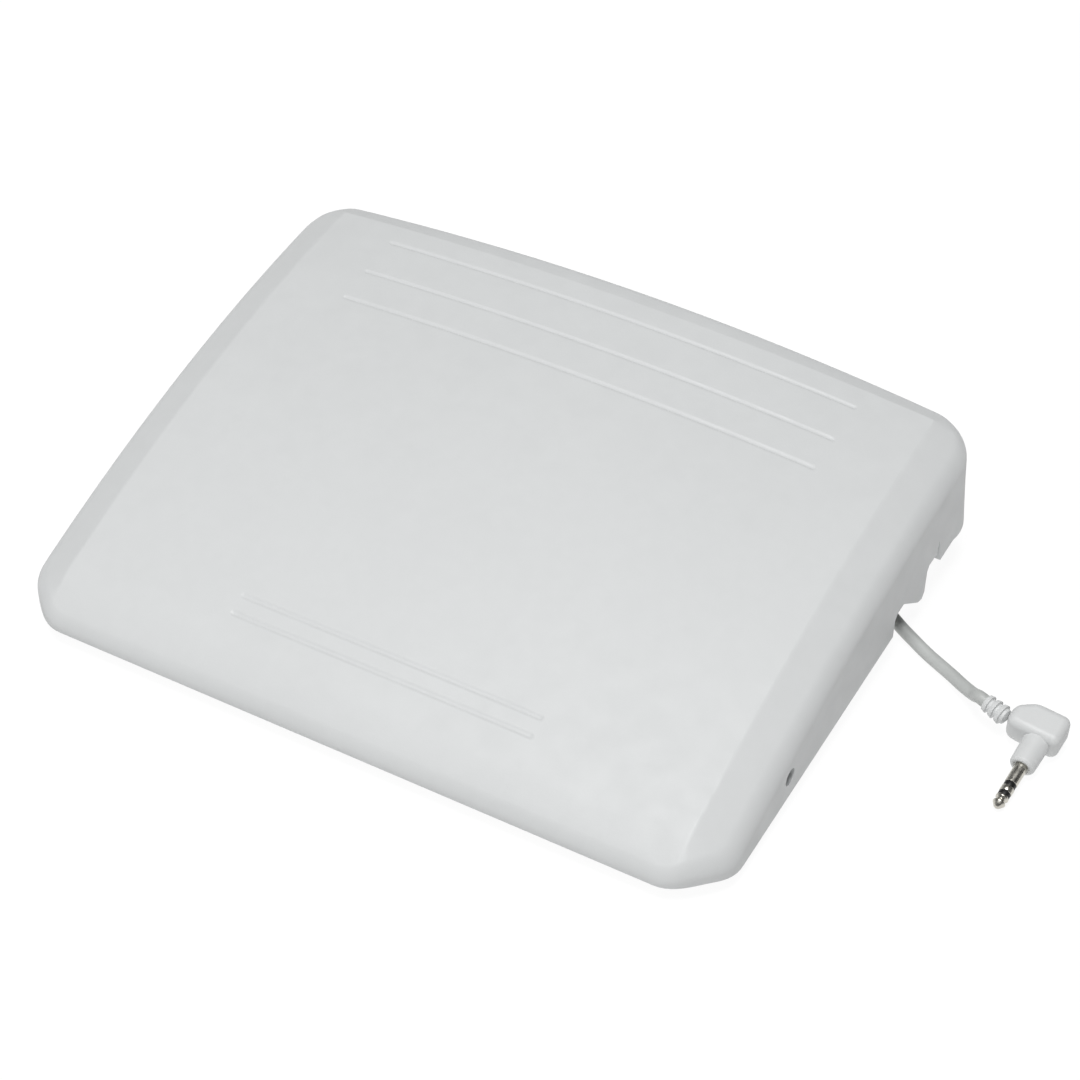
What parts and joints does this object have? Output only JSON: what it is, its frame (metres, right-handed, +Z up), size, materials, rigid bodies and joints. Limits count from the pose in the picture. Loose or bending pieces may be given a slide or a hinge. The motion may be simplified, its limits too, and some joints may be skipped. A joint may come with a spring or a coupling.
{
  "type": "foot control pedal",
  "caption": "White plastic foot speed control for a household sewing machine: hinged wedge cover on a flat base, thin lead wound underneath, right-angle plug",
  "frame": {"origin": "on the floor, under the middle of the pedal without its lead and plug", "axes": "+X to the user's right across the pedal, +Y from the heel edge to the raised toe edge, +Z up"},
  "size_m": [0.2619, 0.1654, 0.0502],
  "materials": {
    "white_shell": "moulded off-white plastic with a fine satin texture",
    "white_base": "moulded off-white plastic, plain",
    "black_rubber": "moulded soft rubber",
    "plated_steel": "zinc-plated steel",
    "nickel_contact": "bright nickel plate",
    "black_insulator": "black plastic ring",
    "grey_vinyl": "pale grey flexible vinyl, slight sheen",
    "brown_board": "phenolic circuit board",
    "black_control": "black engineering plastic",
    "wire_red": "insulated hook-up wire",
    "wire_white": "insulated hook-up wire",
    "wire_black": "insulated hook-up wire"
  },
  "bodies": {
    "base": {"base_housing": "white_base", "foot_heel_left": "black_rubber", "foot_heel_right": "black_rubber", "foot_toe_left": "black_rubber", "foot_toe_right": "black_rubber", "pivot_pin_left": "plated_steel", "return_spring_left": "plated_steel", "stop_bumper_left": "black_rubber", "pivot_pin_right": "plated_steel", "return_spring_right": "plated_steel", "stop_bumper_right": "black_rubber", "circuit_board": "brown_board", "speed_control_body": "black_control", "board_bracket": "plated_steel", "bracket_screw_front": "plated_steel", "bracket_screw_rear": "plated_steel", "cord_gland": "black_rubber", "cord_clamp": "white_base", "clamp_screw_left": "plated_steel", "clamp_screw_right": "plated_steel", "cord_tail": "grey_vinyl", "wire_red": "wire_red", "wire_white": "wire_white", "wire_black": "wire_black", "cord_entry": "grey_vinyl", "cord_coil": "grey_vinyl", "cord_lead": "grey_vinyl", "plug_boot": "grey_vinyl", "plug_body": "grey_vinyl", "plug_collar": "grey_vinyl", "plug_sleeve_contact": "nickel_contact", "plug_rear_insulator": "black_insulator", "plug_ring_contact": "nickel_contact", "plug_front_insulator": "black_insulator", "plug_tip_contact": "nickel_contact"},
    "pedal": {"pedal_cover": "white_shell", "actuator_fork": "black_control", "fork_screw": "plated_steel"},
    "slider": {"speed_control_slider": "black_control"}
  },
  "joints": [
    {"name": "pedal_tilt", "type": "hinge", "parent": "base", "child": "pedal", "pos_m": [0, -0.0397, 0.013], "axis": [-1, 0, 0], "range_deg": [0, 3.8], "stiffness_Nm_per_rad": 13, "springref_deg": -5.73, "deforming": ["return_spring_left", "return_spring_right"]},
    {"name": "slider_travel", "type": "slide", "parent": "base", "child": "slider", "axis": [0, 0, -1], "range_m": [0, 0.0052]}
  ],
  "couplings": [
    {"joint": "slider_travel", "follows": "pedal_tilt", "m_per_rad": 0.0754}
  ]
}
